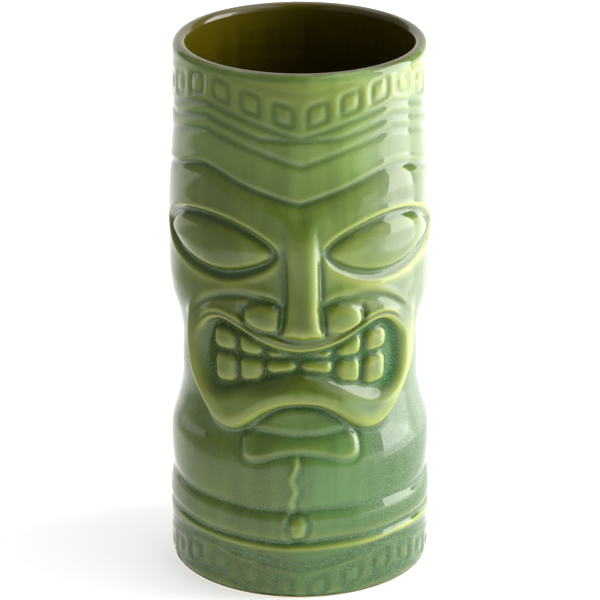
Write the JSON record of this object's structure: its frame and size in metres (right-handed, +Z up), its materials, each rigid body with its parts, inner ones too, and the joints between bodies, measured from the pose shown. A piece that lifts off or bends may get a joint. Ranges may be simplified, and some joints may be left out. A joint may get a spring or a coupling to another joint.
{
  "type": "tiki mug",
  "caption": "Tall handleless ceramic tumbler with a carved scowling face, banded rim and base, open at the top for drinks.",
  "frame": {"origin": "centre of the foot ring, on the surface that the mug stands on", "axes": "+Z up along the mug's axis; -Y out of the carved face; +X to the right of someone looking at the face"},
  "size_m": [0.0846, 0.0872, 0.175],
  "materials": {
    "stoneware": "matt bare clay, seen only on the ground foot ring",
    "green_glaze": "glossy olive green, speckled blue-grey where it pools",
    "olive_glaze": "glossy dark olive brown",
    "base_green_glaze": "glossy olive green, thinner in the foot recess"
  },
  "bodies": {
    "root": {"clay_body": "stoneware", "outer_glaze": "green_glaze", "liner_glaze": "olive_glaze", "base_glaze": "base_green_glaze"}
  },
  "joints": []
}
